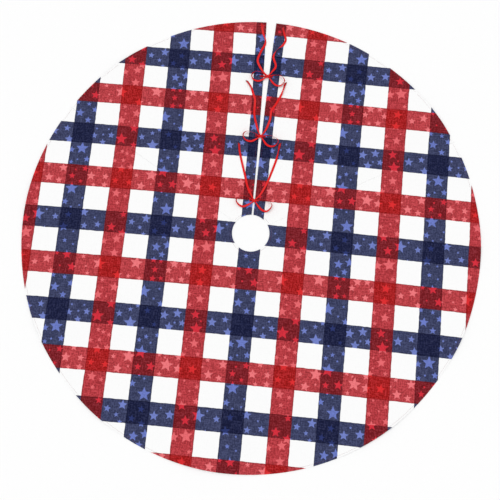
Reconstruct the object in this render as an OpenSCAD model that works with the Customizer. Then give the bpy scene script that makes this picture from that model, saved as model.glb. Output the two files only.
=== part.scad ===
// Round tree skirt: a printed cloth front on a plain backing, with a trunk hole in the
// middle, a slit from the hole to the rim, and three pairs of ribbon ties across the slit.
// The origin is the centre of the trunk hole on the underside. +Z is up, and the slit
// runs from the hole along +Y. Left is -X and right is +X.

/* [Skirt] */
// Diameter of the finished skirt
skirt_d = 1220; // [1210:10:1400]
// Diameter of the trunk hole
hole_d = 100; // [80:2:104]
// Thickness of the printed front
front_t = 0.6; // [0.4:0.1:1]
// Thickness of the backing, and of the turned hem that lies beside it
backing_t = 0.5; // [0.4:0.1:1]
// Width of the hem that is turned under along every edge
hem_w = 8; // [7:1:12]

/* [Slit] */
// Gap of the slit where it leaves the hole
slit_hole_w = 5; // [4:0.5:6]
// Gap of the slit at the rim
slit_rim_w = 28; // [24:1:32]
// How late the slit widens: 1 is straight edges, and more keeps it narrow for longer
slit_curve = 2.2; // [1:0.1:3]
// Angle from the slit to the line on which each flap folds back
fold_angle = 60; // [50:1:70]

/* [Stitching] */
// Distance from an edge to its row of topstitching
stitch_inset = 5; // [3:0.5:6]
// Width of a row of thread
thread_w = 0.8; // [0.5:0.1:1]
// Height of the thread above the cloth
thread_h = 0.3; // [0.2:0.1:0.4]
// Distance by which the stitching stops short of a fold line
stitch_stop = 5; // [4:1:8]

/* [Ribbon ties] */
// Width of the satin ribbon
ribbon_w = 6; // [5:0.5:6]
// Width of the ribbon where the knot gathers it
pinch_w = 3; // [2.5:0.5:3]
// Thickness of the sewn end of a ribbon
ribbon_end_t = 0.4; // [0.3:0.1:0.4]
// Thickness of the solid that stands for a loop or a tail
strip_t = 0.8; // [0.6:0.1:0.9]
// Length of the ribbon end that lies on the flap
ribbon_end_l = 10; // [9:1:16]
// Radius of a knot
knot_r = 6; // [5.5:0.1:6]
// Height of a knot
knot_h = 5; // [4:0.5:6]
// Clearance between a knot and the loops, the tails and the right ribbon
knot_gap = 0.3; // [0.2:0.1:0.3]
// Width of a bar tack
tack_w = 1.6; // [1:0.2:2]
// Distance from the slit's edge to a bar tack
tack_inset = 7; // [7:0.5:8]

/* [Hidden] */
skirt_r = skirt_d / 2;
hole_r = hole_d / 2;
cloth_t = backing_t + front_t;
knot_round = 2;
tail_rise = 1.3;
loop_rise = 2.6;
loop_arch = 2.4;
strip_sides = 8;
curve_fn = 180;
slit_steps = 28;
slack = 1;

LEFT = -1;
RIGHT = 1;
SIDES = [LEFT, RIGHT];

print_red = "#b23c41";
lining_white = "#f2f0ec";
thread_red = "#8e2228";
ribbon_red = "#d8231d";

// The ties, from the rim to the hole, and where each knot lies.
TIES = ["outer", "middle", "inner"];
KNOTS = [[4, 446], [1, 270], [1, 88]];

// Route of each tail and loop, from its knot. A loop leaves its knot and comes back to it.
LEFT_TAILS = [
    [[-4.5, 5], [-18, 18], [-32, 45], [-25, 74], [-15, 102], [-25, 131], [-32, 161]],
    [[-3.5, 6], [-12, 25], [-23, 62], [-25, 102], [-31, 119], [-40, 141], [-54, 159]],
    [[-4, 5.5], [-21, 36], [-32, 69], [-43, 102], [-53, 135], [-57, 158]]
];
RIGHT_TAILS = [
    [[4, 5.5], [11, 15], [20, 33], [11, 60], [18, 79], [34, 98], [41, 115], [35, 134], [29, 154]],
    [[4, 5.5], [13, 22], [21, 50], [23, 77], [34, 98], [46, 127], [55, 163]],
    [[4, 5.5], [16, 21], [28, 49], [37, 76], [49, 122], [55, 168]]
];
LEFT_LOOPS = [
    [[-6.5, 2], [-18, 8], [-33, 11], [-44, 0], [-38, -13], [-22, -15], [-5.5, -4.5]],
    [[-6.8, 1], [-20, 7], [-38, 10], [-48, 0], [-41, -13], [-24, -16], [-5.5, -4.5]],
    [[-6.5, 2], [-18, 8], [-33, 11], [-48, -1], [-42, -13], [-27, -18], [-5.5, -5]]
];
RIGHT_LOOPS = [
    [[6.8, 1], [22, 4], [38, 3], [48, -10], [38, -24], [22, -22], [5.5, -5]],
    [[6.8, 0.5], [22, 3], [40, 0], [49, -12], [38, -25], [20, -23], [5, -5.5]],
    [[6.8, 1], [22, 4], [38, 3], [48, -9], [37, -25], [21, -22], [5, -5.5]]
];

SKIRT_NODES = [
    "front_panel", "backing_panel", "outer_hem", "hole_hem", "outer_stitching", "hole_stitching"
];
FLAP_PIECES = [
    "front_flap", "backing_flap", "outer_hem", "hole_hem", "slit_hem",
    "outer_stitching", "hole_stitching", "slit_stitching", "bar_tacks"
];
TIE_PIECES = [
    "knot", "left_ribbon", "right_ribbon", "left_loop", "right_loop", "left_tail", "right_tail"
];

function side_name(side) = side == LEFT ? "left" : "right";

// Half of the slit's gap at a distance y from the centre.
function slit_half(y) =
    let (share = max(0, (y - hole_r) / (skirt_r - hole_r)))
    (slit_hole_w + (slit_rim_w - slit_hole_w) * pow(share, slit_curve)) / 2;

// Angle that a length takes up along a circle.
function arc_angle(length, radius) = length / radius * 180 / PI;

// Direction of a route at point i, between the points before and after it.
function heading(route, i) =
    let (step = route[min(i + 1, len(route) - 1)] - route[max(i - 1, 0)])
    step / norm(step);

// Flattened ring of points across a strip.
function strip_ring(centre, direction, width) = [
    for (k = [0 : strip_sides - 1])
    let (a = 360 * (k + 0.5) / strip_sides, across = cos(a) * width / 2)
    [centre.x + direction.y * across, centre.y - direction.x * across, centre.z + sin(a) * strip_t / 2]
];

// A length of ring: cloth between two radii, from an angle through a span.
module ring(inner_r, outer_r, bottom, height, from, span) {
    rotate([0, 0, from])
        rotate_extrude(angle = span, $fn = curve_fn)
            translate([inner_r, bottom])
                square([outer_r - inner_r, height]);
}

// Ring of the main part of the skirt, which stops at both fold lines. The inset
// is the length left free beside each fold line.
module skirt_ring(inner_r, outer_r, bottom, height, inset = 0) {
    free = arc_angle(inset, inner_r);
    ring(inner_r, outer_r, bottom, height, 90 + fold_angle + free, 360 - 2 * fold_angle - 2 * free);
}

// Block beyond a line that runs beside the slit's right edge, at an inset from it.
module beside_slit(inset, width) {
    reach = skirt_r + slack;
    steps = [for (i = [0 : slit_steps]) reach * i / slit_steps];
    near_side = [for (y = steps) [slit_half(y) + inset, y]];
    far_side = [for (i = [slit_steps : -1 : 0]) near_side[i] + [width, 0]];
    translate([0, 0, -slack])
        linear_extrude(cloth_t + thread_h + 2 * slack)
            polygon(concat(far_side, near_side));
}

// Ring of one flap, from its fold line to an inset from the slit's edge.
module flap_ring(side, inner_r, outer_r, bottom, height, slit_inset = 0, fold_inset = 0) {
    free = arc_angle(fold_inset, inner_r);
    mirror([side == LEFT ? 1 : 0, 0, 0])
        difference() {
            ring(inner_r, outer_r, bottom, height, 90 - fold_angle + free, fold_angle - free);
            beside_slit(slit_inset - skirt_r, skirt_r);
        }
}

// Strip of one flap that runs beside the slit, between two radii.
module slit_strip(side, inset, width, inner_r, outer_r, bottom, height) {
    mirror([side == LEFT ? 1 : 0, 0, 0])
        intersection() {
            ring(inner_r, outer_r, bottom, height, 90 - fold_angle, fold_angle);
            beside_slit(inset, width);
        }
}

// Closed strip that follows a route at the heights given, gathered at its knot.
module strip(knot_xy, route, rises, widths) {
    last = len(route) - 1;
    base = [knot_xy.x, knot_xy.y, cloth_t];
    points = [
        for (i = [0 : last])
        each strip_ring(base + [route[i].x, route[i].y, rises[i]], heading(route, i), widths[i])
    ];
    walls = [
        for (i = [0 : last - 1]) for (k = [0 : strip_sides - 1])
        let (a = i * strip_sides + k, b = i * strip_sides + (k + 1) % strip_sides)
        [a, a + strip_sides, b + strip_sides, b]
    ];
    start_cap = [for (k = [0 : strip_sides - 1]) k];
    end_cap = [for (k = [strip_sides - 1 : -1 : 0]) last * strip_sides + k];
    polyhedron(points, concat(walls, [start_cap, end_cap]));
}

module front_panel() {
    color(print_red) skirt_ring(hole_r, skirt_r, backing_t, front_t);
}

module backing_panel() {
    color(lining_white) skirt_ring(hole_r + hem_w, skirt_r - hem_w, 0, backing_t);
}

module outer_hem() {
    color(print_red) skirt_ring(skirt_r - hem_w, skirt_r, 0, backing_t);
}

module hole_hem() {
    color(print_red) skirt_ring(hole_r, hole_r + hem_w, 0, backing_t);
}

module outer_stitching() {
    line_r = skirt_r - stitch_inset;
    color(thread_red)
        skirt_ring(line_r - thread_w / 2, line_r + thread_w / 2, cloth_t, thread_h, stitch_stop);
}

module hole_stitching() {
    line_r = hole_r + stitch_inset;
    color(thread_red)
        skirt_ring(line_r - thread_w / 2, line_r + thread_w / 2, cloth_t, thread_h, stitch_stop);
}

module front_flap(side) {
    color(print_red) flap_ring(side, hole_r, skirt_r, backing_t, front_t);
}

module backing_flap(side) {
    color(lining_white)
        flap_ring(side, hole_r + hem_w, skirt_r - hem_w, 0, backing_t, slit_inset = hem_w);
}

module flap_outer_hem(side) {
    color(print_red) flap_ring(side, skirt_r - hem_w, skirt_r, 0, backing_t);
}

module flap_hole_hem(side) {
    color(print_red) flap_ring(side, hole_r, hole_r + hem_w, 0, backing_t);
}

module slit_hem(side) {
    color(print_red) slit_strip(side, 0, hem_w, hole_r + hem_w, skirt_r - hem_w, 0, backing_t);
}

// Row of thread along the rim or the hole of a flap. It ends beside the slit's own row.
module flap_stitching(side, line_r) {
    color(thread_red)
        flap_ring(
            side, line_r - thread_w / 2, line_r + thread_w / 2, cloth_t, thread_h,
            slit_inset = stitch_inset + thread_w, fold_inset = stitch_stop
        );
}

// Row of thread beside the slit, with a gap where each ribbon end is sewn on.
module slit_stitching(side) {
    line = stitch_inset - thread_w / 2;
    color(thread_red)
        difference() {
            slit_strip(
                side, line, thread_w, hole_r + stitch_inset, skirt_r - stitch_inset, cloth_t, thread_h
            );
            for (knot_xy = KNOTS)
                translate([0, knot_xy.y, cloth_t])
                    cube([skirt_r, ribbon_w + 2 * slack, 4 * thread_h], center = true);
        }
}

// Ribbon end that is sewn to a flap. The left one runs under the knot, and the right
// one stops beside it, where the tie comes apart.
module ribbon_end(side, knot_xy) {
    outer_x = side * (slit_half(knot_xy.y) + ribbon_end_l);
    inner_x = side == LEFT ? knot_xy.x : knot_xy.x + knot_r + knot_gap;
    color(ribbon_red)
        translate([min(outer_x, inner_x), knot_xy.y - ribbon_w / 2, cloth_t])
            cube([abs(outer_x - inner_x), ribbon_w, ribbon_end_t]);
}

// The three tacks that hold the ribbon ends of one flap.
module bar_tacks(side) {
    color(thread_red)
        for (knot_xy = KNOTS)
            translate([
                side * (slit_half(knot_xy.y) + tack_inset) - tack_w / 2,
                knot_xy.y - ribbon_w / 2,
                cloth_t + ribbon_end_t
            ])
                cube([tack_w, ribbon_w, thread_h]);
}

// Round knot with a rounded top.
module knot(knot_xy) {
    color(ribbon_red)
        translate([knot_xy.x, knot_xy.y, cloth_t + ribbon_end_t])
            rotate_extrude($fn = curve_fn) {
                square([knot_r, knot_h - knot_round]);
                square([knot_r - knot_round, knot_h]);
                translate([knot_r - knot_round, knot_h - knot_round])
                    intersection() {
                        circle(knot_round, $fn = curve_fn);
                        square(knot_round);
                    }
            }
}

// Free tail of a ribbon, which lies on its flap.
module tail(knot_xy, route) {
    rises = [for (point = route) tail_rise];
    widths = [for (i = [0 : len(route) - 1]) i == 0 ? pinch_w : ribbon_w];
    color(ribbon_red) strip(knot_xy, route, rises, widths);
}

// Loop of a bow, which arches over the tails.
module loop(knot_xy, route) {
    last = len(route) - 1;
    rises = [for (i = [0 : last]) loop_rise + loop_arch * sin(180 * i / last)];
    widths = [for (i = [0 : last]) i == 0 || i == last ? pinch_w : ribbon_w];
    color(ribbon_red) strip(knot_xy, route, rises, widths);
}

front_panel();
backing_panel();
outer_hem();
hole_hem();
outer_stitching();
hole_stitching();

for (side = SIDES) {
    name = side_name(side);
    front_flap(side);
    backing_flap(side);
    flap_outer_hem(side);
    flap_hole_hem(side);
    slit_hem(side);
    flap_stitching(side, skirt_r - stitch_inset);
    flap_stitching(side, hole_r + stitch_inset);
    slit_stitching(side);
    bar_tacks(side);
}

for (i = [0 : len(TIES) - 1]) {
    knot(KNOTS[i]);
    ribbon_end(LEFT, KNOTS[i]);
    ribbon_end(RIGHT, KNOTS[i]);
    loop(KNOTS[i], LEFT_LOOPS[i]);
    loop(KNOTS[i], RIGHT_LOOPS[i]);
    tail(KNOTS[i], LEFT_TAILS[i]);
    tail(KNOTS[i], RIGHT_TAILS[i]);
}
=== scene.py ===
import math

import bpy
import numpy as np
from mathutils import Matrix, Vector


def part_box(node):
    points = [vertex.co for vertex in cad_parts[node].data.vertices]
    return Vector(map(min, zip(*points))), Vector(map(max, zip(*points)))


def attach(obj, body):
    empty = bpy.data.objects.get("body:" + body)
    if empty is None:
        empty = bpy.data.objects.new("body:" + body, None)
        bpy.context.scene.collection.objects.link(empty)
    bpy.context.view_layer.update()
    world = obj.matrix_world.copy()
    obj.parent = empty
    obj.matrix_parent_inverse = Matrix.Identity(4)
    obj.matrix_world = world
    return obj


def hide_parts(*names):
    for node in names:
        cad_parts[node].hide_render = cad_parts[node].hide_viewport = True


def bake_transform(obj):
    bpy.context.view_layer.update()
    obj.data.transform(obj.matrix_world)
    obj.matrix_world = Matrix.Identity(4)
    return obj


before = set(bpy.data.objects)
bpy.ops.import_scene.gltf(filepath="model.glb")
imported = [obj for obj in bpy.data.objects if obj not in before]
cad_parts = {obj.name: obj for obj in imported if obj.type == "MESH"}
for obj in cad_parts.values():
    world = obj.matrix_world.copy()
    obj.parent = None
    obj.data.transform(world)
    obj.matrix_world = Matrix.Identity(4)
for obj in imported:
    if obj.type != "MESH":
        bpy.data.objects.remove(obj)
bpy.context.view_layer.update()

TAU = 2 * math.pi
MM = 0.001
LEFT, RIGHT = -1, 1
SIDE_NAMES = {LEFT: "left", RIGHT: "right"}

# ---- Cloth sizes ----
RIM_R = -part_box("front_panel")[0].y
HEM_W = RIM_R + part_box("backing_panel")[0].y
HOLE_R = -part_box("hole_hem")[0].y - HEM_W
TOP_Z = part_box("front_panel")[1].z
LAYER_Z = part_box("front_panel")[0].z
LAYER_GAP = 0.02 * MM
HEM_REST_Z = 0.15 * MM
LINING_REST_Z = 0.22 * MM
SLIT_HOLE_HALF = 2.5 * MM
SLIT_RIM_HALF = 14 * MM
# Power of the distance from the hole by which the slit opens.
SLIT_CURVE = 2.2
FOLD_ANGLE = math.radians(60)

# ---- How the cloth lies ----
WAVE_H = 2.6 * MM
WAVE_COUNT = 11
WAVE_START_R = 0.24
CALM_ANGLE = math.radians(26)
CALM_BLEND = math.radians(12)
FOLD_CALM = 70 * MM
PUCKER_H = 0.4 * MM
PUCKER_L = 19 * MM
PUCKER_REACH = 8 * MM
STITCH_INSET = 5 * MM
GROOVE_H = 0.10 * MM
GROOVE_W = 1 * MM

# ---- Grid lines: distances from a cloth edge and from a fold line ----
EDGE_STEPS = np.array([0, 0.08, 0.28, 0.55, 1.4, 2.6, 3.8, 4.5, 5, 5.5, 6.3, 7.6, 9.5, 13, 19, 29]) * MM
FOLD_STEPS = np.array([0, 1, 2, 3.2, 4.6, 6, 7.5, 9, 10.5, 12, 13.5, 15, 17]) * MM
PLAIN_STEPS = np.array([0, 2, 6, 14]) * MM
HEM_STEPS = np.array([0, 0.06, 0.18, 0.35, 1.2, 2.5, 4, 5, 6, 7.2, 8]) * MM
PRINT_GRID = 10 * MM
LINING_GRID = 22 * MM
MAIN_COLUMNS = 480
LINING_COLUMNS = 360
SLIT_ROWS = 130
SEAM_POINTS = 400

# ---- Thread ----
STITCH_L = 2.6 * MM
STITCH_GAP = 0.6 * MM
THREAD_R = 0.15 * MM
FOLD_STOP = 5 * MM
PLY_L = 0.7 * MM
TACK_INSET = 7 * MM
TACK_RISE = 0.62 * MM
TACK_HALF_W = 0.65 * MM
TACK_LEAN = 0.12 * MM
TACK_PASSES = 16

# ---- Ribbon ----
RIBBON_W = 6 * MM
PINCH_W = 3.4 * MM
RIBBON_T = 0.36 * MM
RIBBON_END_L = 10 * MM
RIB_L = 0.45 * MM
# A distance that is far from a ribbon's painted shade and its seared tip.
BRIGHT = 100 * MM
# Where a loop turns back, as a share of its length; painted shade darkens the loop round it.
FAR_TURN = 0.47
TIES = ["outer", "middle", "inner"]

# Route of each tail and loop from its knot, as in the CAD model.
LEFT_TAILS = [
    [(-0.0045, 0.005), (-0.018, 0.018), (-0.032, 0.045), (-0.025, 0.074), (-0.015, 0.102),
     (-0.025, 0.131), (-0.032, 0.161)],
    [(-0.0035, 0.006), (-0.012, 0.025), (-0.023, 0.062), (-0.025, 0.102), (-0.031, 0.119),
     (-0.040, 0.141), (-0.054, 0.159)],
    [(-0.004, 0.0055), (-0.021, 0.036), (-0.032, 0.069), (-0.043, 0.102), (-0.053, 0.135),
     (-0.057, 0.158)],
]
RIGHT_TAILS = [
    [(0.004, 0.0055), (0.011, 0.015), (0.020, 0.033), (0.011, 0.060), (0.018, 0.079),
     (0.034, 0.098), (0.041, 0.115), (0.035, 0.134), (0.029, 0.154)],
    [(0.004, 0.0055), (0.013, 0.022), (0.021, 0.050), (0.023, 0.077), (0.034, 0.098),
     (0.046, 0.127), (0.055, 0.163)],
    [(0.004, 0.0055), (0.016, 0.021), (0.028, 0.049), (0.037, 0.076), (0.049, 0.122),
     (0.055, 0.168)],
]
LEFT_LOOPS = [
    [(-0.0065, 0.002), (-0.018, 0.008), (-0.033, 0.011), (-0.044, 0), (-0.038, -0.013),
     (-0.022, -0.015), (-0.0055, -0.0045)],
    [(-0.0068, 0.001), (-0.020, 0.007), (-0.038, 0.010), (-0.048, 0), (-0.041, -0.013),
     (-0.024, -0.016), (-0.0055, -0.0045)],
    [(-0.0065, 0.002), (-0.018, 0.008), (-0.033, 0.011), (-0.048, -0.001), (-0.042, -0.013),
     (-0.027, -0.018), (-0.0055, -0.005)],
]
RIGHT_LOOPS = [
    [(0.0068, 0.001), (0.022, 0.004), (0.038, 0.003), (0.048, -0.010), (0.038, -0.024),
     (0.022, -0.022), (0.0055, -0.005)],
    [(0.0068, 0.0005), (0.022, 0.003), (0.040, 0), (0.049, -0.012), (0.038, -0.025),
     (0.020, -0.023), (0.005, -0.0055)],
    [(0.0068, 0.001), (0.022, 0.004), (0.038, 0.003), (0.048, -0.009), (0.037, -0.025),
     (0.021, -0.022), (0.005, -0.0055)],
]
TAILS = {LEFT: LEFT_TAILS, RIGHT: RIGHT_TAILS}
LOOPS = {LEFT: LEFT_LOOPS, RIGHT: RIGHT_LOOPS}

# Where along its length each tail turns on edge, as a share, and by how many degrees.
TAIL_TURNS = {
    LEFT: [(0.70, 58), (0.86, 24), (0.90, 18)],
    RIGHT: [(0.52, 60), (0.84, 46), (0.84, 50)],
}

# ---- Print ----
# The plaid's pitch, and half of a stripe's width as a share of the pitch.
PITCH = 121.2 * MM
STRIPE_HALF = 0.237
# How the print sits on the cloth: moved, stretched, and bowed by so much per metre.
PRINT_SHIFT = np.array([1.0, -2.2]) * MM
PRINT_SCALE = np.array([0.9993, 0.9960])
PRINT_BOW = 0.018
PRINT_WEAVE = 0.9 * MM
LINING_WEAVE = 1.1 * MM
# The star layout repeats every four stripes, both ways.
REPEAT = 4
STAR_INNER = 0.45
STAR_LEAN = math.radians(9)
LEAN_SEED = 7
# Tip radius of each size of star, and where the stars of one repeat are, in pitches. The
# places were read from enlarged pictures of the print in the photograph.
STAR_SIZES = {"large": 0.145, "medium": 0.105, "small": 0.078, "tiny": 0.055, "speck": 0.032}
STARS = {
    "large": [
        (1.66, 1.13), (1.91, 1.24), (2.48, 1.02), (-0.07, 0.68), (2.08, 0.38), (3.27, 0.05),
        (3.06, -0.38), (0.76, -0.95), (1.57, -0.87), (1.81, -1.47), (0.88, -2.08), (1.60, -2.17),
        (3.03, -2.17), (0.03, -2.37),
    ],
    "medium": [
        (0.32, 1.00), (0.97, 1.22), (1.45, 0.86), (2.15, 0.96), (2.73, 0.96), (3.04, 0.98),
        (3.68, 1.14), (3.39, 0.90), (0.93, 0.65), (2.90, 0.22), (-0.13, -0.20), (0.28, 0.16),
        (0.92, -0.12), (1.17, -0.24), (1.66, 0.13), (2.34, -0.04), (2.67, 0.01), (3.01, -0.07),
        (1.07, -0.38), (1.06, -0.69), (1.96, -0.48), (2.20, -0.42), (2.81, -0.42), (0.03, -0.81),
        (0.17, -1.07), (1.19, -1.17), (2.40, -0.82), (3.02, -0.90), (3.00, -1.18), (3.61, -0.93),
        (-0.13, -1.53), (1.16, -1.44), (0.83, -1.63), (3.04, -1.53), (1.14, -1.80), (2.31, -1.94),
        (2.59, -1.88), (2.44, -2.18), (2.98, -1.87), (3.35, -2.00), (3.71, -2.18), (3.02, -2.48),
    ],
    "small": [
        (0.17, 1.16), (-0.10, 0.97), (0.64, 1.01), (0.64, 0.82), (0.47, 1.22), (1.17, 1.27),
        (0.87, 0.94), (1.18, 0.92), (1.88, 0.93), (2.72, 1.20), (2.80, 1.26), (3.62, 0.85),
        (-0.17, 0.37), (1.81, 0.58), (3.19, 0.33), (-0.06, 0.08), (0.61, -0.09), (0.32, -0.14),
        (1.15, 0.18), (1.35, 0.03), (2.06, 0.07), (1.88, -0.13), (2.10, -0.22), (3.66, 0.02),
        (0.80, -0.45), (2.10, -0.64), (1.94, -0.77), (1.99, -0.98), (1.96, -1.18), (2.61, -0.81),
        (2.29, -0.97), (2.72, -0.97), (2.59, -1.15), (3.35, -1.02), (3.73, -1.19), (0.20, -1.43),
        (0.07, -1.69), (2.20, -1.71), (1.17, -2.20), (0.64, -2.01), (0.47, -2.19), (0.26, -2.05),
        (1.34, -1.99), (1.94, -1.88), (2.71, -2.08), (3.63, -1.92), (-0.20, -2.42), (0.17, -2.62),
    ],
    "tiny": [
        (0.10, 0.86), (0.40, 0.80), (1.33, 1.10), (2.31, 1.22), (2.35, 0.82), (3.35, 1.20),
        (1.14, 0.60), (0.98, 0.43), (3.17, 0.63), (2.83, 0.45), (1.55, -0.08), (1.64, -0.22),
        (3.45, -0.26), (-0.06, -0.50), (3.16, -0.68), (-0.19, -0.79), (0.40, -0.82), (0.53, -1.18),
        (1.43, -1.17), (1.67, -1.20), (2.10, -0.79), (2.14, -1.16), (2.39, -1.17), (-0.20, -1.28),
        (0.05, -1.30), (0.88, -1.30), (2.80, -1.44), (2.83, -1.67), (1.57, -1.88), (1.72, -1.79),
        (2.12, -2.16), (-0.17, -2.71), (0.94, -2.37), (1.05, -2.41), (0.99, -2.58), (1.18, -2.46),
        (0.80, -2.60), (1.98, -2.43), (1.84, -2.51), (2.21, -2.38), (3.12, -2.70),
    ],
    "speck": [
        (-0.04, 1.12), (1.67, 0.92), (2.43, 1.17), (3.25, 1.05), (0.20, 0.48), (0.15, 0.31),
        (-0.03, 0.26), (2.05, 0.70), (1.93, 0.76), (2.90, 0.73), (3.03, 0.53), (0.53, 0.06),
        (2.47, 0.13), (3.45, 0.16), (0.10, -0.29), (0.13, -0.57), (-0.09, -1.06), (0.48, -1.03),
        (0.91, -1.47), (1.01, -1.65), (2.14, -1.39), (2.04, -1.61), (3.12, -1.36), (0.46, -2.01),
        (0.57, -1.87), (0.30, -1.88), (2.55, -2.08), (3.11, -2.00), (-0.04, -2.64), (1.88, -2.25),
        (2.09, -2.55), (2.85, -2.40), (2.85, -2.61),
    ],
}

# ---- Colours ----
# Brightness of a white surface under the studio light; colours below are as they look there.
LIGHT_LEVEL = 1.087
WHITE = "#fefefe"
# The print's stripes and their crossings, and the stars on each of them.
GROUND = {
    "blue column": "#3b4162", "red column": "#b83a40",
    "blue row": "#3c4264", "red row": "#bc4045",
    "blue on blue": "#171d40", "red on blue": "#7d1a21", "red on red": "#ab1919",
}
STAR = {
    "blue column": "#6f7fca", "red column": "#ec6c72",
    "blue row": "#7685cc", "red row": "#f47c81",
    "blue on blue": "#2d3870", "red on blue": "#d9303f", "red on red": "#e22f32",
}
LINING_COLOUR = "#f2f0ec"
THREAD_COLOUR = "#8e2228"
RIBBON_COLOUR = "#f01412"
# Darker ribbon colour: painted shade at loop turns, tail ends, edges and on the face-down ends, and the
# random tone of the floats.
RIBBON_SHADE = "#a60c18"
FLOOR_COLOUR = "#ffffff"

# ---- Camera and light ----
# The camera was fitted so that the skirt lies in the picture as in the photograph.
LENS = 36.29
CAMERA_PLACE = (0.02554, -0.24425, 1.32082)
CAMERA_TURN = (0.14931, 0.01723, 0.09554)
STUDIO_LIGHT = 0.90
KEY_LIGHT = 0.66


def smooth(t):
    """0 below 0, 1 above 1, and a smooth step between."""
    t = np.clip(t, 0, 1)
    return t * t * (3 - 2 * t)


def linear(colour):
    """A surface colour from a hex colour as it looks under the studio light."""
    shares = [int(colour[i:i + 2], 16) / 255 for i in (1, 3, 5)]
    values = [s / 12.92 if s <= 0.04045 else ((s + 0.055) / 1.055) ** 2.4 for s in shares]
    return (*[min(v / LIGHT_LEVEL, 0.95) for v in values], 1)


# ---- Camera, floor and light ----
def make_camera():
    data = bpy.data.cameras.new("camera")
    data.lens = LENS
    data.sensor_width = 36
    camera = bpy.data.objects.new("camera", data)
    bpy.context.scene.collection.objects.link(camera)
    camera.location = CAMERA_PLACE
    camera.rotation_mode = "ZYX"
    camera.rotation_euler = CAMERA_TURN
    bpy.context.scene.camera = camera


def make_studio():
    scene = bpy.context.scene
    scene.view_settings.view_transform = "Standard"
    world = bpy.data.worlds.new("studio")
    world.use_nodes = True
    world.node_tree.nodes["Background"].inputs["Color"].default_value = (1, 1, 1, 1)
    world.node_tree.nodes["Background"].inputs["Strength"].default_value = STUDIO_LIGHT
    scene.world = world
    sun = bpy.data.lights.new("key_light", "SUN")
    sun.energy = KEY_LIGHT
    sun.angle = math.radians(35)
    lamp = bpy.data.objects.new("key_light", sun)
    lamp.rotation_euler = (math.radians(-24), math.radians(-22), 0)
    scene.collection.objects.link(lamp)


# ---- Materials ----
class Nodes:
    """Short calls that build one material."""

    def __init__(self, name):
        self.material = bpy.data.materials.new(name)
        self.material.use_nodes = True
        self.tree = self.material.node_tree
        self.shader = self.tree.nodes["Principled BSDF"]

    def put(self, value, socket):
        if isinstance(value, bpy.types.NodeSocket):
            self.tree.links.new(value, socket)
        else:
            socket.default_value = value

    def math(self, operation, a, b=0.0):
        node = self.tree.nodes.new("ShaderNodeMath")
        node.operation = operation
        self.put(a, node.inputs[0])
        self.put(b, node.inputs[1])
        return node.outputs[0]

    def step(self, value, low, high):
        """0 at low, 1 at high, and smooth between. low may be above high."""
        node = self.tree.nodes.new("ShaderNodeMapRange")
        node.interpolation_type = "SMOOTHSTEP"
        flip = low > high
        self.put(value, node.inputs["Value"])
        node.inputs["From Min"].default_value = min(low, high)
        node.inputs["From Max"].default_value = max(low, high)
        node.inputs["To Min"].default_value = float(flip)
        node.inputs["To Max"].default_value = float(not flip)
        return node.outputs["Result"]

    def mix(self, share, a, b, kind="MIX"):
        node = self.tree.nodes.new("ShaderNodeMix")
        node.data_type = "RGBA"
        node.blend_type = kind
        self.put(share, node.inputs["Factor"])
        self.put(a, node.inputs["A"])
        self.put(b, node.inputs["B"])
        return node.outputs["Result"]

    def uv(self, layer):
        """The two coordinates of a UV layer."""
        source = self.tree.nodes.new("ShaderNodeUVMap")
        source.uv_map = layer
        split = self.tree.nodes.new("ShaderNodeSeparateXYZ")
        self.put(source.outputs["UV"], split.inputs[0])
        return split.outputs["X"], split.outputs["Y"]

    def noise(self, x, y, scale_x, scale_y, detail=2.0):
        """Noise from 0 to 1, with about scale_x and scale_y spots in a unit."""
        join = self.tree.nodes.new("ShaderNodeCombineXYZ")
        self.put(self.math("MULTIPLY", x, scale_x), join.inputs["X"])
        self.put(self.math("MULTIPLY", y, scale_y), join.inputs["Y"])
        node = self.tree.nodes.new("ShaderNodeTexNoise")
        node.noise_dimensions = "2D"
        node.inputs["Scale"].default_value = 1.0
        node.inputs["Detail"].default_value = detail
        self.put(join.outputs[0], node.inputs["Vector"])
        return node.outputs["Fac"]

    def weave(self, x, y, threads):
        """Height of a plain weave with so many threads in a unit."""
        across = self.math("SINE", self.math("MULTIPLY", x, TAU * threads / 2))
        along = self.math("SINE", self.math("MULTIPLY", y, TAU * threads / 2))
        return self.math("MULTIPLY", across, along)

    def bump(self, height, depth, strength=1.0):
        node = self.tree.nodes.new("ShaderNodeBump")
        node.inputs["Strength"].default_value = strength
        node.inputs["Distance"].default_value = depth
        self.put(height, node.inputs["Height"])
        self.put(node.outputs["Normal"], self.shader.inputs["Normal"])

    def finish(self, colour, roughness, **constants):
        self.put(colour, self.shader.inputs["Base Color"])
        self.put(roughness, self.shader.inputs["Roughness"])
        for name, value in constants.items():
            self.shader.inputs[name.replace("_", " ")].default_value = value
        return self.material


def star_mask(nodes, layer):
    """1 inside the five-pointed star whose tips are at radius 1 in a UV layer."""
    u, v = nodes.uv(layer)
    radius = nodes.math("SQRT", nodes.math("ADD", nodes.math("MULTIPLY", u, u), nodes.math("MULTIPLY", v, v)))
    angle = nodes.math("ARCTAN2", u, v)
    turned = nodes.math("FLOORED_MODULO", nodes.math("ADD", angle, TAU / 10), TAU / 5)
    from_tip = nodes.math("ABSOLUTE", nodes.math("SUBTRACT", turned, TAU / 10))
    normal = np.array([STAR_INNER * math.sin(TAU / 10), 1 - STAR_INNER * math.cos(TAU / 10)])
    normal = normal / np.linalg.norm(normal)
    along = nodes.math("MULTIPLY", nodes.math("MULTIPLY", radius, nodes.math("COSINE", from_tip)), normal[0])
    aside = nodes.math("MULTIPLY", nodes.math("MULTIPLY", radius, nodes.math("SINE", from_tip)), normal[1])
    outside = nodes.math("SUBTRACT", nodes.math("ADD", along, aside), normal[0])
    return nodes.step(outside, 0.04, -0.04)


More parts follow.
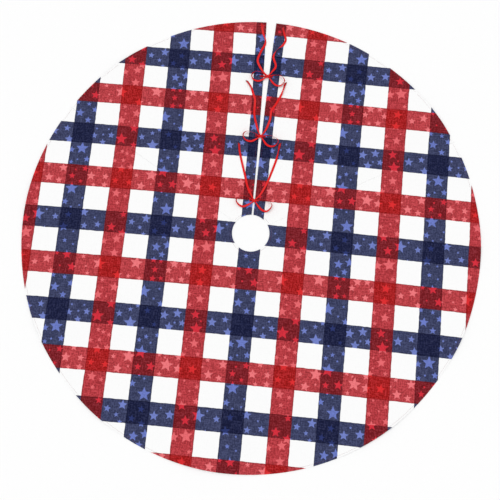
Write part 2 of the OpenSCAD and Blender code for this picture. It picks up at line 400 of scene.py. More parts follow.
def stripes(nodes, place, wobble):
    """A stripe's mask, its edge line, and 1 where it is one of the red ones."""
    moved = nodes.math("ADD", place, wobble)
    nearest = nodes.math("ROUND", moved)
    off = nodes.math("ABSOLUTE", nodes.math("SUBTRACT", moved, nearest))
    mask = nodes.step(off, STRIPE_HALF + 0.004, STRIPE_HALF - 0.004)
    edge = nodes.math("MULTIPLY", nodes.step(off, STRIPE_HALF - 0.028, STRIPE_HALF - 0.010), mask)
    return mask, edge, nodes.math("FLOORED_MODULO", nearest, 2)


def plaid(nodes, colours, column, red_column, row, red_row):
    """Colour of the plaid from its four kinds of stripe and their crossings."""
    tones = {name: linear(colour) for name, colour in colours.items()}
    column_tone = nodes.mix(red_column, tones["blue column"], tones["red column"])
    row_tone = nodes.mix(red_row, tones["blue row"], tones["red row"])
    on_blue = nodes.mix(red_column, tones["blue on blue"], tones["red on blue"])
    on_red = nodes.mix(red_column, tones["red on blue"], tones["red on red"])
    crossing = nodes.mix(red_row, on_blue, on_red)
    no_row = nodes.mix(column, linear(WHITE), column_tone)
    with_row = nodes.mix(column, row_tone, crossing)
    return nodes.mix(row, no_row, with_row)


def printed_cloth():
    """Plain-woven polyester, printed with a plaid of slubbed stripes and stars."""
    nodes = Nodes("printed_cloth")
    a, b = nodes.uv("print")
    wobble_a = nodes.math("MULTIPLY", nodes.math("SUBTRACT", nodes.noise(a, b, 3, 9), 0.5), 0.016)
    wobble_b = nodes.math("MULTIPLY", nodes.math("SUBTRACT", nodes.noise(a, b, 9, 3), 0.5), 0.016)
    column, column_edge, red_column = stripes(nodes, a, wobble_a)
    row, row_edge, red_row = stripes(nodes, b, wobble_b)
    ground = plaid(nodes, GROUND, column, red_column, row, red_row)
    stars = plaid(nodes, STAR, column, red_column, row, red_row)

    warp = nodes.noise(a, b, 62, 5, 2)
    weft = nodes.noise(a, b, 5, 62, 2)
    blotch = nodes.noise(a, b, 30, 30, 2)
    threads = nodes.math("ADD", nodes.math("MULTIPLY", warp, 0.5), nodes.math("MULTIPLY", weft, 0.5))
    tone = nodes.math("ADD", nodes.math("MULTIPLY", threads, 0.6), nodes.math("MULTIPLY", blotch, 0.4))
    printed = nodes.math("MAXIMUM", column, row)
    dark = nodes.math("MULTIPLY", nodes.step(tone, 0.52, 0.42), nodes.math("MAXIMUM", printed, 0.04))
    pale = nodes.math("MULTIPLY", nodes.step(tone, 0.49, 0.59), printed)
    ground = nodes.mix(dark, ground, (0.66, 0.64, 0.66, 1), "MULTIPLY")
    ground = nodes.mix(pale, ground, (1.2, 1.2, 1.2, 1), "MULTIPLY")
    ground = nodes.mix(pale, ground, (0.015, 0.015, 0.02, 1), "ADD")
    lines = nodes.math("MAXIMUM", column_edge, row_edge)
    ground = nodes.mix(nodes.math("MULTIPLY", lines, 0.22), ground, (0, 0, 0, 1), "MULTIPLY")

    star = nodes.math("MAXIMUM", star_mask(nodes, "star_near"), star_mask(nodes, "star_next"))
    worn = nodes.math("SUBTRACT", 1.0, nodes.math("MULTIPLY", nodes.step(tone, 0.55, 0.40), 0.25))
    colour = nodes.mix(nodes.math("MULTIPLY", star, worn), ground, stars)
    weave = nodes.weave(a, b, 2 * PITCH / PRINT_WEAVE)
    slub = nodes.math("ADD", weave, nodes.math("MULTIPLY", threads, 2.0))
    nodes.bump(slub, 0.05 * MM, 0.6)
    roughness = nodes.math("ADD", nodes.math("MULTIPLY", threads, 0.16), 0.74)
    return nodes.finish(
        colour, roughness, Specular_IOR_Level=0.06, Sheen_Weight=0.02, Sheen_Roughness=0.5
    )


def lining():
    """Plain white lining with a loose weave."""
    nodes = Nodes("lining")
    a, b = nodes.uv("print")
    warp = nodes.noise(a, b, 120, 4, 3)
    weft = nodes.noise(a, b, 4, 120, 3)
    threads = nodes.math("MULTIPLY", nodes.math("ADD", warp, weft), 0.5)
    base = linear(LINING_COLOUR)
    shade = tuple(0.86 * value for value in base[:3]) + (1,)
    colour = nodes.mix(nodes.step(threads, 0.62, 0.36), base, shade)
    weave = nodes.weave(a, b, 2 * PITCH / LINING_WEAVE)
    nodes.bump(nodes.math("ADD", weave, nodes.math("MULTIPLY", threads, 2.0)), 0.06 * MM, 0.8)
    roughness = nodes.math("ADD", nodes.math("MULTIPLY", threads, 0.2), 0.72)
    return nodes.finish(colour, roughness, Specular_IOR_Level=0.15, Sheen_Weight=0.08)


def thread():
    """Twisted sewing thread: its plies wind round each stitch, with painted shade in the grooves between
    them.
    """
    nodes = Nodes("thread")
    around, along = nodes.uv("along")
    wound = nodes.math("MULTIPLY", around, TAU)
    turns = nodes.math("ADD", nodes.math("MULTIPLY", along, TAU / PLY_L), wound)
    ply = nodes.math("SINE", turns)
    base = linear(THREAD_COLOUR)
    shade = tuple(0.55 * value for value in base[:3]) + (1,)
    # Painted shade: darker where the plies dip, in the grooves between them.
    colour = nodes.mix(nodes.step(ply, -1.0, 0.6), shade, base)
    nodes.bump(ply, 0.05 * MM, 0.8)
    roughness = nodes.math("ADD", nodes.math("MULTIPLY", nodes.noise(around, along, 3, 2000), 0.2), 0.45)
    return nodes.finish(colour, roughness, Specular_IOR_Level=0.4, Sheen_Weight=0.1)


def ribbon_cloth(name, face, gloss):
    """Ribbon: fine ribs across it, a firmer selvedge with painted shade along it, painted shade towards a
    loop's far turn and a tail's end, and a seared, darker cut end.
    """
    nodes = Nodes(name)
    across, along = nodes.uv("along")
    from_middle = nodes.math("ABSOLUTE", across)
    selvedge = nodes.step(from_middle, 0.80, 0.90)
    ribs = nodes.math("SINE", nodes.math("MULTIPLY", along, TAU / RIB_L))
    floats = nodes.noise(across, along, 26, 240, 2)
    to_end = nodes.uv("to_end")[0]
    # Painted shade: the colour darkens round a loop's far turn and along a tail's last part.
    turned = nodes.step(to_end, 26 * MM, 8 * MM)
    seared = nodes.step(to_end, 4 * MM, 0.5 * MM)
    base, shade = linear(face), linear(RIBBON_SHADE)
    colour = nodes.mix(nodes.math("MULTIPLY", nodes.step(floats, 0.62, 0.36), 0.45), base, shade)
    # The selvedge is a firmer woven edge; its darker colour is painted shade along the ribbon's edges.
    colour = nodes.mix(nodes.math("MULTIPLY", selvedge, 0.35), colour, shade)
    colour = nodes.mix(nodes.math("MULTIPLY", turned, 0.6), colour, shade)
    colour = nodes.mix(nodes.math("MULTIPLY", seared, 0.65), colour, (0.05, 0.004, 0.008, 1))
    height = nodes.math("ADD", nodes.math("MULTIPLY", ribs, 0.3), selvedge)
    nodes.bump(nodes.math("ADD", height, nodes.math("MULTIPLY", floats, 0.6)), 0.05 * MM, 0.7)
    roughness = nodes.math("ADD", nodes.math("MULTIPLY", floats, 0.18), 0.65 - gloss)
    return nodes.finish(
        colour, roughness, Specular_IOR_Level=0.5 * gloss, Anisotropic=gloss, Sheen_Weight=0.02
    )


def floor_finish():
    nodes = Nodes("floor")
    source = nodes.tree.nodes.new("ShaderNodeTexCoord")
    grain = nodes.tree.nodes.new("ShaderNodeTexNoise")
    grain.inputs["Scale"].default_value = 40
    nodes.put(source.outputs["Object"], grain.inputs["Vector"])
    roughness = nodes.math("ADD", nodes.math("MULTIPLY", grain.outputs["Fac"], 0.1), 0.85)
    return nodes.finish(linear(FLOOR_COLOUR), roughness, Specular_IOR_Level=0.1)


# ---- Meshes ----
def unit(vectors):
    return vectors / np.linalg.norm(vectors, axis=1, keepdims=True)


def run_along(line):
    """Distance along a line at each of its points."""
    return np.concatenate([[0], np.cumsum(np.linalg.norm(np.diff(line, axis=0), axis=1))])


def make_mesh(name, points, faces, layers, material, flat_from=None):
    """A piece from points, quads and UV layers given for each corner of each face."""
    mesh = bpy.data.meshes.new(name)
    mesh.from_pydata(points.tolist(), [], faces.tolist())
    for layer, corners in layers.items():
        uv = mesh.uv_layers.new(name=layer)
        uv.data.foreach_set("uv", np.asarray(corners, np.float32).ravel())
    rounded = np.ones(len(faces), bool)
    if flat_from is not None:
        rounded[flat_from:] = False
    mesh.polygons.foreach_set("use_smooth", rounded)
    mesh.materials.append(material)
    mesh.update()
    piece = bpy.data.objects.new(name, mesh)
    bpy.context.scene.collection.objects.link(piece)
    return piece


def quads(rows, columns, first=0, closed=False):
    """Faces between the points of a grid, all wound the same way. closed joins its last
    column to its first."""
    i, j = np.meshgrid(np.arange(rows - 1), np.arange(columns - (not closed)), indexing="ij")
    after = (j + 1) % columns
    row, next_row = i * columns, (i + 1) * columns
    faces = np.stack([row + j, next_row + j, next_row + after, row + after], -1)
    return first + faces.reshape(-1, 4)


def star_layers(corners):
    """For each face, its corners as seen from the nearest star and from the next one."""
    places, radii = [], []
    for size, centres in STARS.items():
        places += centres
        radii += [STAR_SIZES[size]] * len(centres)
    places, radii = np.array(places), np.array(radii)
    leans = np.random.default_rng(LEAN_SEED).uniform(-STAR_LEAN, STAR_LEAN, len(places))
    middles = corners.mean(axis=1)
    near, offsets = [], []
    for part in np.array_split(middles, len(middles) // 8000 + 1):
        gaps = (part[:, None] - places + REPEAT / 2) % REPEAT - REPEAT / 2
        order = np.argsort(np.hypot(gaps[..., 0], gaps[..., 1]) / radii, axis=1)[:, :2]
        near.append(order)
        offsets.append(np.take_along_axis(gaps, order[..., None], axis=1))
    near, offsets = np.concatenate(near), np.concatenate(offsets)
    layers = {}
    for k, layer in enumerate(["star_near", "star_next"]):
        star = near[:, k]
        local = (corners - middles[:, None] + offsets[:, k][:, None]) / radii[star][:, None, None]
        cos, sin = np.cos(leans[star])[:, None], np.sin(leans[star])[:, None]
        turned = [local[..., 0] * cos - local[..., 1] * sin, local[..., 0] * sin + local[..., 1] * cos]
        layers[layer] = np.stack(turned, -1)
    return layers


def slab(name, plan, top, bottom, cloth, material, stars=False):
    """A closed sheet between two heights over a grid of plan points."""
    rows, columns = plan.shape[:2]
    count = rows * columns
    points = np.concatenate([
        np.dstack([plan, top]).reshape(-1, 3),
        np.dstack([plan, bottom]).reshape(-1, 3),
    ])
    upper = quads(rows, columns)
    grid = np.arange(count).reshape(rows, columns)
    border = np.concatenate([grid[:-1, 0], grid[-1, :-1], grid[:0:-1, -1], grid[0, :0:-1]])
    after = np.roll(border, -1)
    walls = np.stack([border, border + count, after + count, after], -1)
    faces = np.concatenate([upper, upper[:, ::-1] + count, walls])
    a, b = plan[1, 0] - plan[0, 0], plan[0, 1] - plan[0, 0]
    if a[0] * b[1] - a[1] * b[0] < 0:
        faces = faces[:, ::-1]
    corners = np.tile(cloth.reshape(-1, 2) / PITCH, (2, 1))[faces]
    layers = {"print": corners}
    if stars:
        layers.update(star_layers(corners))
    return make_mesh(name, points, faces, layers, material, flat_from=2 * len(upper))


def sweep(name, rings, around, lengths, material, to_end):
    """A closed tube through rings of points. around and lengths are its UV coordinates,
    and to_end is each ring's distance from the ribbon's painted shade and seared tip."""
    count, sides = rings.shape[:2]
    skin = quads(count, sides, closed=True)
    points = rings.reshape(-1, 3)
    u = np.tile(np.append(around, around[0]), (count, 1))
    v = np.tile(lengths[:, None], (1, sides + 1))
    far = np.tile(np.broadcast_to(to_end, count)[:, None], (1, sides + 1))
    half = sides // 2
    caps = []
    for ring in (0, count - 1):
        base = ring * sides
        for k in range(half - 1):
            face = [base + k, base + k + 1, base + sides - 2 - k, base + sides - 1 - k]
            caps.append(face[::-1] if ring else face)
    i, j = np.meshgrid(np.arange(count - 1), np.arange(sides), indexing="ij")
    corner = [(i, j), (i + 1, j), (i + 1, j + 1), (i, j + 1)]
    along = np.stack([np.stack([u[c], v[c]], -1) for c in corner], 2).reshape(-1, 4, 2)
    ending = np.stack([np.stack([far[c], v[c]], -1) for c in corner], 2).reshape(-1, 4, 2)
    caps = np.array(caps)
    flat_u, flat_v = u[:, :-1].ravel(), v[:, :-1].ravel()
    cap_uv = np.stack([flat_u[caps], flat_v[caps]], -1)
    cap_end = np.stack([far[:, :-1].ravel()[caps], flat_v[caps]], -1)
    layers = {"along": np.concatenate([along, cap_uv]), "to_end": np.concatenate([ending, cap_end])}
    return make_mesh(name, points, np.concatenate([skin, caps]), layers, material, flat_from=len(skin))


# ---- The cloth's shape ----
def slit_half(y):
    """Half the slit's width: it opens slowly at first, and more towards the rim."""
    share = np.maximum(0, (y - HOLE_R) / (RIM_R - HOLE_R))
    return SLIT_HOLE_HALF + (SLIT_RIM_HALF - SLIT_HOLE_HALF) * share**SLIT_CURVE


def slit_bearing(radius, inset):
    """Angle from +Y to the line at an inset from the slit's edge, at a radius."""
    x = slit_half(radius) + inset
    for _ in range(4):
        x = slit_half(np.sqrt(radius**2 - x**2)) + inset
    return np.arcsin(x / radius)


def edge_distances(x, y):
    """How far points are from the rim, the hole and the slit."""
    radius = np.hypot(x, y)
    slit = np.where(y > 0, np.abs(x) - slit_half(y), RIM_R)
    return RIM_R - radius, radius - HOLE_R, slit


def nearest_edge(x, y):
    rim, hole, slit = edge_distances(x, y)
    return np.minimum(np.minimum(rim, hole), slit)


def rounding(distance, radius):
    """How far a rounded edge falls away, at a distance from the edge."""
    inside = np.clip(radius - distance, 0, radius)
    return radius - np.sqrt(radius**2 - inside**2)


def lift(x, y):
    """How far the cloth stands off the floor: slow waves towards the rim, none by the ties
    or on the fold lines, and small puckers along the stitching."""
    radius, angle = np.hypot(x, y), np.arctan2(y, x)
    bearing = np.abs(np.arctan2(x, y))
    from_fold = radius * np.abs(np.sin(bearing - FOLD_ANGLE))
    calm = smooth((bearing - CALM_ANGLE) / CALM_BLEND) * smooth(from_fold / FOLD_CALM)
    wave = 0.5 + 0.5 * np.sin(WAVE_COUNT * angle + 1.3 * np.sin(3 * angle + 0.7))
    swell = smooth((radius - WAVE_START_R) / (RIM_R - WAVE_START_R))
    height = WAVE_H * wave**1.5 * swell * calm
    for distance, run in zip(edge_distances(x, y), (angle * RIM_R, angle * HOLE_R, y)):
        ripple = np.sin(TAU * run / PUCKER_L + 1.6 * np.sin(TAU * run / (3.7 * PUCKER_L)))
        near = np.exp(-((distance - STITCH_INSET) / PUCKER_REACH) ** 2)
        height = height + PUCKER_H * near * (0.5 + 0.5 * ripple)
    return height


def groove(x, y):
    """How far the top of the cloth is drawn in along the stitching."""
    return GROOVE_H * np.exp(-(((nearest_edge(x, y) - STITCH_INSET) / GROOVE_W) ** 2))


def cloth_top(x, y):
    return TOP_Z + lift(x, y) - groove(x, y) - rounding(nearest_edge(x, y), TOP_Z / 2)


def spread(low, high, low_steps, high_steps, grid):
    """Grid lines from low to high, close together at both ends."""
    start, end = low + low_steps[-1], high - high_steps[-1]
    count = max(1, round((end - start) / grid))
    middle = np.linspace(start, end, count + 1)[1:-1]
    return np.concatenate([low + low_steps, middle, high - high_steps[::-1]])


def main_plan(radii, columns):
    """Grid over the main part, which runs from one fold line round to the other."""
    angle = np.linspace(TAU / 4 + FOLD_ANGLE, 1.25 * TAU - FOLD_ANGLE, columns + 1)
    return radii[:, None, None] * np.stack([np.cos(angle), np.sin(angle)], -1)


def flap_plan(side, radii, fold_steps, slit_steps, grid, inset=0.0):
    """Grid over one flap, from its fold line to an inset from the slit's edge."""
    arcs = radii * (FOLD_ANGLE - slit_bearing(radii, inset))
    start, end = fold_steps[-1], arcs - slit_steps[-1]
    count = round((end[-1] - start) / grid)
    shares = np.linspace(0, 1, count + 1)[1:-1]
    middle = start + (end - start)[:, None] * shares
    first = np.tile(fold_steps, (len(radii), 1))
    last = arcs[:, None] - slit_steps[::-1]
    bearing = FOLD_ANGLE - np.hstack([first, middle, last]) / radii[:, None]
    return radii[:, None, None] * np.stack([side * np.sin(bearing), np.cos(bearing)], -1)


def slit_plan(side, radii, insets):
    """Grid over the strip beside the slit."""
    bearing = np.stack([slit_bearing(radii, inset) for inset in insets], 1)
    return radii[:, None, None] * np.stack([side * np.sin(bearing), np.cos(bearing)], -1)


def across_rim(plan, edge_r):
    """Where the cloth of a hem lay before it was turned under at a round edge."""
    radius = np.hypot(plan[..., 0], plan[..., 1])[..., None]
    return plan * (2 * edge_r - radius) / radius


def across_slit(plan):
    """The same for the hem beside the slit."""
    x, y = plan[..., 0], plan[..., 1]
    return np.stack([np.sign(x) * (2 * slit_half(y) - np.abs(x)), y], -1)


def in_print(cloth):
    """Print coordinates of points of an uncut cloth. The print is slightly bowed on it."""
    x, y = np.moveaxis((cloth - PRINT_SHIFT) / PRINT_SCALE, -1, 0)
    return np.stack([x - PRINT_BOW * x * y, y + PRINT_BOW * x**2], -1)


def print_place(side, cloth):
    """Where points of the cloth lie in the print. Each flap's print was cut along its middle
    stripe and is moved aside by the slit's half width, and less towards the fold line."""
    if side is None:
        return in_print(cloth)
    radius = np.hypot(cloth[..., 0], cloth[..., 1])
    bearing = np.arctan2(side * cloth[..., 0], cloth[..., 1])
    cut = slit_bearing(radius, 0)
    bearing = side * FOLD_ANGLE * (bearing - cut) / (FOLD_ANGLE - cut)
    return in_print(radius[..., None] * np.stack([np.sin(bearing), np.cos(bearing)], -1))


# ---- Placing pieces ----
def settle(piece, side, node, bends=True):
    """Puts a cloth or thread piece in place of its CAD node: on the skirt's body, or on its flap's body if it
    does not bend; a flap piece that bends is only baked in place, on no body.
    """
    if side is None:
        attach(piece, "skirt")
    elif bends:
        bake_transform(piece)
    else:
        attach(piece, f"{SIDE_NAMES[side]}_flap")
    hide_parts(node)
    return piece


def node_of(side, part):
    return part if side is None else f"{SIDE_NAMES[side]}_{part}"


def make_front(side, material):
    radii = spread(HOLE_R, RIM_R, EDGE_STEPS, EDGE_STEPS, PRINT_GRID)
    if side is None:
        plan = main_plan(radii, MAIN_COLUMNS)
    else:
        plan = flap_plan(side, radii, FOLD_STEPS, EDGE_STEPS, PRINT_GRID)
    x, y = plan[..., 0], plan[..., 1]
    node = "front_panel" if side is None else node_of(side, "front_flap")
    bottom = LAYER_Z + LAYER_GAP + lift(x, y)
    cloth = print_place(side, plan)
    piece = slab(f"{node}_cloth", plan, cloth_top(x, y), bottom, cloth, material, stars=True)
    return settle(piece, side, node)


def make_backing(side, material):
    radii = spread(HOLE_R + HEM_W, RIM_R - HEM_W, PLAIN_STEPS, PLAIN_STEPS, LINING_GRID)
    if side is None:
        plan = main_plan(radii, LINING_COLUMNS)
    else:
        plan = flap_plan(side, radii, FOLD_STEPS, PLAIN_STEPS, LINING_GRID, HEM_W)
    x, y = plan[..., 0], plan[..., 1]
    node = "backing_panel" if side is None else node_of(side, "backing_flap")
    top = LAYER_Z - LAYER_GAP + lift(x, y)
    piece = slab(f"{node}_cloth", plan, top, LINING_REST_Z + lift(x, y), plan, material)
    return settle(piece, side, node)


def make_hem(side, part, plan, cloth, material):
    x, y = plan[..., 0], plan[..., 1]
    top = LAYER_Z - LAYER_GAP + lift(x, y)
    fold_away = rounding(nearest_edge(x, y), LAYER_Z - HEM_REST_Z - 2 * LAYER_GAP)
    bottom = HEM_REST_Z + lift(x, y) + fold_away
    node = node_of(side, part)
    piece = slab(f"{node}_fold", plan, top, bottom, print_place(side, cloth), material, stars=True)
    return settle(piece, side, node)


def make_hems(side, material):
    made = []
    for part, edge_r, radii in (
        ("outer_hem", RIM_R, RIM_R - HEM_STEPS[::-1]),
        ("hole_hem", HOLE_R, HOLE_R + HEM_STEPS),
    ):
        if side is None:
            plan = main_plan(radii, MAIN_COLUMNS)
        else:
            plan = flap_plan(side, radii, FOLD_STEPS, HEM_STEPS, PRINT_GRID / 2)
        made.append(make_hem(side, part, plan, across_rim(plan, edge_r), material))
    if side is not None:
        radii = np.linspace(HOLE_R + HEM_W, RIM_R - HEM_W, SLIT_ROWS)
        plan = slit_plan(side, radii, HEM_STEPS)
        made.append(make_hem(side, "slit_hem", plan, across_slit(plan), material))
    return made


# ---- Stitches ----
def stitch_mesh(name, starts, ends, material, arch=0.08 * MM, radius=THREAD_R):
    """One small rounded stitch from each start to its end, over the middle it stands highest."""
    shares = np.array([0, 0.12, 0.32, 0.5, 0.68, 0.88, 1])
    girth = np.array([0.25, 0.8, 1, 1, 1, 0.8, 0.25])
    rise = arch * (1 - (2 * shares - 1) ** 2) - 0.5 * radius * (1 - girth)
    sides = 8
    turn = np.arange(sides) * TAU / sides
    way = unit(ends - starts)
    across = unit(np.cross(way, (0, 0, 1)))
    over = np.cross(across, way)
    middle = starts[:, None] + (ends - starts)[:, None] * shares[None, :, None]
    middle = middle + over[:, None] * rise[None, :, None]
    spoke = across[:, None] * np.cos(turn)[None, :, None] + over[:, None] * np.sin(turn)[None, :, None]
    rings = middle[:, :, None] + radius * girth[None, :, None, None] * spoke[:, None]
    count = len(shares) * sides
    skin = quads(len(shares), sides, closed=True)
    caps = [[0, 1, 2, 3], [0, 3, 4, 7], [4, 5, 6, 7]]
    last = (len(shares) - 1) * sides
    caps = np.array(caps + [[last + k for k in face[::-1]] for face in caps])
    faces = np.concatenate([skin, caps])
    u = np.tile(np.arange(sides) / sides, len(shares))
    v = np.repeat(shares * STITCH_L, sides)
    corners = np.stack([u[faces], v[faces]], -1)
    wraps = corners[..., 0].max(axis=1) - corners[..., 0].min(axis=1) > 0.5
    corners[wraps, :, 0] += corners[wraps, :, 0] < 0.5
    many = (np.arange(len(starts)) * count)[:, None, None] + faces
    layers = {"along": np.tile(corners, (len(starts), 1, 1))}
    return make_mesh(name, rings.reshape(-1, 3), many.reshape(-1, 4), layers, material)


def seam(line, top_side):
    """Starts and ends of the stitches along a line of plan points."""
    run = run_along(line)
    pitch = STITCH_L + STITCH_GAP
    count = int(run[-1] / pitch)
    begin = (np.arange(count) + 0.5) * run[-1] / count - STITCH_L / 2
    places = []
    for at in (begin, begin + STITCH_L):
        x, y = (np.interp(at, run, line[:, k]) for k in (0, 1))
        if top_side:
            z = cloth_top(x, y) + 0.25 * THREAD_R
        else:
            z = HEM_REST_Z + lift(x, y) - 0.1 * THREAD_R
        places.append(np.stack([x, y, z], -1))
    return places


def seam_piece(side, part, lines, material, bends=True):
    """The stitches of one row, seen on the top of the cloth and under the hem."""
    starts, ends = [], []
    for line in lines:
        for top_side in (True, False):
            begin, end = seam(line, top_side)
            starts.append(begin)
            ends.append(end)
    node = node_of(side, part)
    piece = stitch_mesh(f"{node}_thread", np.concatenate(starts), np.concatenate(ends), material)
    return settle(piece, side, node, bends)


def arc_line(radius, start, end):
    angle = np.linspace(start, end, SEAM_POINTS)
    return radius * np.stack([np.cos(angle), np.sin(angle)], -1)


def make_round_seams(side, material):
    made = []
    rows = {"outer_stitching": RIM_R - STITCH_INSET, "hole_stitching": HOLE_R + STITCH_INSET}
    for part, radius in rows.items():
        stop = FOLD_ANGLE - FOLD_STOP / radius
        if side is None:
            start = TAU / 4 + FOLD_ANGLE + FOLD_STOP / radius
            line = arc_line(radius, start, 1.5 * TAU - start)
        else:
            slit = slit_bearing(radius, STITCH_INSET)
            line = arc_line(radius, TAU / 4 - side * slit, TAU / 4 - side * stop)
        made.append(seam_piece(side, part, [line], material))
    return made


def make_slit_seam(side, material):
    """Stitches beside the slit, with a gap at each ribbon end."""
    end_gap = 1.6 * STITCH_INSET
    tie_gap = RIBBON_W / 2 + 1 * MM
    radii = np.linspace(HOLE_R + end_gap, RIM_R - end_gap, SEAM_POINTS)
    line = slit_plan(side, radii, [STITCH_INSET])[:, 0]
    lines, low = [], 0.0
    for y in sorted(knot_place(tie)[1] for tie in TIES) + [2 * RIM_R]:
        keep = (line[:, 1] > low) & (line[:, 1] < y - tie_gap)
        lines.append(line[keep])
        low = y + tie_gap
    return seam_piece(side, "slit_stitching", lines, material, bends=False)


def make_bar_tacks(side, material):
    """A close zigzag of thread over each ribbon end."""
    starts, ends = [], []
    z = TOP_Z + TACK_RISE
    for tie in TIES:
        y0 = knot_place(tie)[1]
        x0 = side * (slit_half(y0) + TACK_INSET)
        for k in range(TACK_PASSES):
            y = y0 + (k / (TACK_PASSES - 1) - 0.5) * 0.86 * RIBBON_W
            starts.append((x0 - TACK_HALF_W, y - TACK_LEAN, z))
            ends.append((x0 + TACK_HALF_W, y + TACK_LEAN, z))
    node = node_of(side, "bar_tacks")
    starts, ends = np.array(starts), np.array(ends)
    piece = stitch_mesh(f"{node}_thread", starts, ends, material, arch=0.03 * MM, radius=0.16 * MM)
    return settle(piece, side, node, bends=False)


# ---- Ribbons and knots ----
def knot_place(tie):
    low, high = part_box(f"{tie}_knot")
    return (low.x + high.x) / 2, (low.y + high.y) / 2


def curve_through(points, count):
    """A smooth curve through points of any dimension, evenly spaced along its length."""
    points = np.asarray(points, float)
    ends = [2 * points[0] - points[1], 2 * points[-1] - points[-2]]
    p = np.vstack([ends[0], points, ends[1]])
    t = np.linspace(0, 1, 30, endpoint=False)[:, None]
    parts = []
    for a, b, c, d in zip(p[:-3], p[1:-2], p[2:-1], p[3:]):
        square = (2 * a - 5 * b + 4 * c - d) * t**2
        cube = (3 * b - a - 3 * c + d) * t**3
        parts.append(0.5 * (2 * b + (c - a) * t + square + cube))
    fine = np.vstack([*parts, points[-1]])
    run = run_along(fine)
    at = np.linspace(0, run[-1], count)
    return np.stack([np.interp(at, run, fine[:, k]) for k in range(fine.shape[1])], -1)


def profile():
    """Outline of a ribbon's cross-section, as shares of half its width and half its thickness."""
    across = np.array([-1, -0.93, -0.82, -0.4, 0, 0.4, 0.82, 0.93, 1])
    height = np.array([0.35, 1.15, 1.0, 0.85, 0.8, 0.85, 1.0, 1.15, 0.35])
    return np.concatenate([across, across[::-1]]), np.concatenate([height, -height[::-1]])


def ribbon(name, line, widths, tilts, material, cut=0.0, dark_from=None):
    """A flat ribbon along a line. Each tilt turns it about the line, from lying flat.
    dark_from gives each point's distance from the ribbon's painted shade and seared tip."""
    way = unit(np.gradient(line, axis=0))
    level = unit(np.cross(way, (0, 0, 1)))
    upright = np.cross(level, way)
    cos, sin = np.cos(tilts)[:, None], np.sin(tilts)[:, None]
    across, out = level * cos + upright * sin, upright * cos - level * sin
    u, h = profile()
    rings = line[:, None] + across[:, None] * (u[None, :, None] * widths[:, None, None] / 2)
    rings = rings + out[:, None] * (h[None, :, None] * RIBBON_T / 2)
    share = np.linspace(0, 1, len(line))
    slant = cut * smooth((share - 0.9) / 0.1)
    rings = rings + way[:, None] * (slant[:, None] * u[None])[..., None]
    to_end = BRIGHT if dark_from is None else dark_from
    return sweep(name, rings, u, run_along(line), material, to_end)


def length_of(line):
    return float(np.linalg.norm(np.diff(line, axis=0), axis=1).sum())


def make_tail(tie, side, material):
    """The free end of a ribbon: it lies on its flap and turns on edge once."""
    index = TIES.index(tie)
    x, y = knot_place(tie)
    route = TAILS[side][index]
    start = (route[0][0] * 0.6, route[0][1] * 0.6)
    plan = curve_through([start, *route], 64) + (x, y)
    share = np.linspace(0, 1, len(plan))
    widths = PINCH_W + (RIBBON_W - PINCH_W) * smooth((share - 0.02) / 0.16)
    turn, turn_angle = TAIL_TURNS[side][index]
    tilts = side * math.radians(turn_angle) * np.exp(-(((share - turn) / 0.09) ** 2))
    tilts = tilts - side * math.radians(15) * np.sin(TAU * (1.6 * share + 0.2 * index)) * smooth(share / 0.3)
    clearance = (1.45 - 0.85 * smooth((share - 0.20) / 0.2)) * MM
    rise = np.abs(np.sin(tilts)) * widths / 2 + clearance
    knot_rise = 1.0 * MM * (1 - smooth(share / 0.06))
    line = np.column_stack([plan, cloth_top(plan[:, 0], plan[:, 1]) + rise + knot_rise])
    node = f"{tie}_{SIDE_NAMES[side]}_tail"
    # Painted shade darkens the tail's last part; its cut tip is seared.
    to_shaded_tip = length_of(line) * (1 - share)
    piece = ribbon(f"{node}_ribbon", line, widths, tilts, material, side * 2.2 * MM, to_shaded_tip)
    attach(piece, node)
    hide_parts(node)


def make_loop(tie, side, material):
    """A loop of the bow: it stands on edge, high on its way out and low on its way back."""
    index = TIES.index(tie)
    x, y = knot_place(tie)
    route = LOOPS[side][index]
    start = (route[0][0] * 0.6, route[0][1] * 0.6)
    end = (route[-1][0] * 0.6, route[-1][1] * 0.6)
    plan = curve_through([start, *route, end], 72) + (x, y)
    share = np.linspace(0, 1, len(plan))
    pinch = np.minimum(smooth((share - 0.03) / 0.14), smooth((0.97 - share) / 0.14))
    widths = PINCH_W + (RIBBON_W - PINCH_W) * pinch
    lean_at = [0, 0.08, 0.14, 0.34, 0.44, 0.56, 0.70, 1]
    lean = np.interp(share, lean_at, [30, 70, 106, 108, 68, 48, 14, 8])
    tilts = -side * np.radians(lean)
    low = np.interp(share, [0, 0.1, 0.42, 0.62, 0.9, 1], [3.4, 3.4, 2.8, 1.3, 1.5, 3.2]) * MM
    kernel = np.ones(7) / 7
    low = np.convolve(np.pad(low, 3, mode="edge"), kernel, mode="valid")
    tilts = np.convolve(np.pad(tilts, 3, mode="edge"), kernel, mode="valid")
    line = np.column_stack([plan, TOP_Z + low + np.abs(np.sin(tilts)) * widths / 2])
    node = f"{tie}_{SIDE_NAMES[side]}_loop"
    # Painted shade darkens the loop round its far turn.
    to_shaded_turn = 9 * MM + length_of(line) * np.abs(share - FAR_TURN)
    piece = ribbon(f"{node}_ribbon", line, widths, tilts, material, dark_from=to_shaded_turn)
    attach(piece, node)
    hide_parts(node)


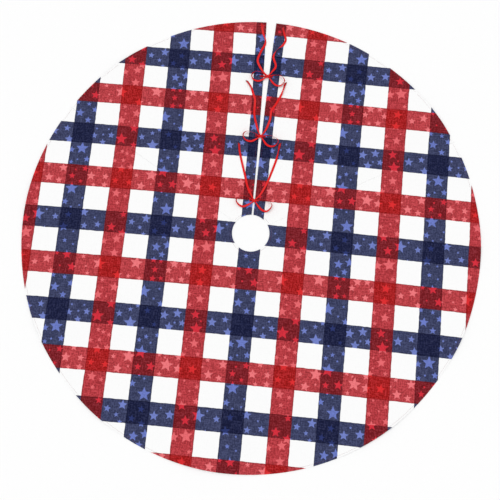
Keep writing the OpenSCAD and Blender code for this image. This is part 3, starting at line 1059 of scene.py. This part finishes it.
def make_ribbon_end(tie, side, material):
    """The sewn end of a ribbon, face down, from its bar tack across the slit into the knot."""
    x, y = knot_place(tie)
    outer = side * (slit_half(y) + RIBBON_END_L)
    inner = x + side * 3.2 * MM
    share = np.linspace(0, 1, 28)
    px = outer + (inner - outer) * share
    to_knot = np.abs(outer - inner) * (1 - share)
    gather = smooth((11 * MM - to_knot) / (9 * MM))
    widths = RIBBON_W - (RIBBON_W - PINCH_W) * gather
    pz = TOP_Z + 0.24 * MM + 1.5 * MM * smooth((4 * MM - to_knot) / (4 * MM))
    line = np.column_stack([px, np.full_like(px, y), pz])
    node = f"{tie}_{SIDE_NAMES[side]}_ribbon"
    tilts = np.radians(8) * np.sin(TAU * share) * gather
    piece = ribbon(f"{node}_end", line, widths, tilts, material)
    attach(piece, f"{SIDE_NAMES[side]}_flap")
    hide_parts(node)


def make_knot(tie, material):
    """A bow's knot: a gathered bundle of ribbon, with a band of ribbon wrapped over it."""
    x, y = knot_place(tie)
    z = TOP_Z + 3.2 * MM
    half_l = 5.8 * MM
    sides = 24
    turn = np.arange(sides) * TAU / sides
    along = np.linspace(-1, 1, 25)
    near_end = (np.abs(along) - 0.75).clip(0)
    bulge = (1 - 0.18 * np.abs(along)) * np.sqrt(np.clip(1 - near_end**2 * 14, 0.12, 1))
    pleat = 1 + 0.10 * np.cos(6 * turn[None] + 1.1 * along[:, None]) + 0.05 * np.cos(11 * turn[None])
    reach = bulge[:, None] * pleat
    bundle = np.stack([
        np.broadcast_to(x + half_l * along[:, None], reach.shape),
        y + 3.4 * MM * reach * np.cos(turn),
        z + 2.0 * MM * reach * np.sin(turn),
    ], -1)
    core = sweep(f"{tie}_knot_core", bundle, np.cos(turn), half_l * (along + 1), material, BRIGHT)

    u, h = profile()
    around = np.linspace(0, TAU, 41)
    crease = 0.22 * MM * np.cos(2.5 * math.pi * u)
    depth = 0.32 * MM * h + crease
    pulled_in = 1 - 0.22 * np.sin(around)[:, None]
    band = np.stack([
        x + 3.1 * MM * u[None] * pulled_in + 0.8 * MM * np.cos(around)[:, None],
        y + (4.0 * MM + depth[None]) * np.cos(around)[:, None],
        z + (2.35 * MM + depth[None]) * np.sin(around)[:, None],
    ], -1)
    wrap = sweep(f"{tie}_knot_band", band, u, around / TAU * 21 * MM, material, BRIGHT)
    for piece in (core, wrap):
        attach(piece, "left_flap")
    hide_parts(f"{tie}_knot")
    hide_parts(f"{tie}_knot")


def make_floor():
    size = 30.0
    mesh = bpy.data.meshes.new("floor")
    corners = [(-size, -size, 0), (size, -size, 0), (size, size, 0), (-size, size, 0)]
    mesh.from_pydata(corners, [], [(0, 1, 2, 3)])
    mesh.materials.append(floor_finish())
    floor = bpy.data.objects.new("floor", mesh)
    bpy.context.scene.collection.objects.link(floor)


make_camera()
make_studio()
ribbon_face = ribbon_cloth("satin_ribbon", RIBBON_COLOUR, 0.35)
# The face-down sewn ends show the duller reverse; their darker colour is painted shade.
ribbon_reverse_painted_shade = ribbon_cloth("satin_ribbon_reverse", RIBBON_SHADE, 0.05)
for tie in TIES:
    for side in (LEFT, RIGHT):
        make_tail(tie, side, ribbon_face)
        make_loop(tie, side, ribbon_face)
        make_ribbon_end(tie, side, ribbon_reverse_painted_shade)
    make_knot(tie, ribbon_face)

cloth_print, plain_lining, sewing_thread = printed_cloth(), lining(), thread()
for side in (None, LEFT, RIGHT):
    front = make_front(side, cloth_print)
    backing = make_backing(side, plain_lining)
    trim = make_hems(side, cloth_print) + make_round_seams(side, sewing_thread)
    if side is not None:
        trim += [make_slit_seam(side, sewing_thread), make_bar_tacks(side, sewing_thread)]
make_floor()
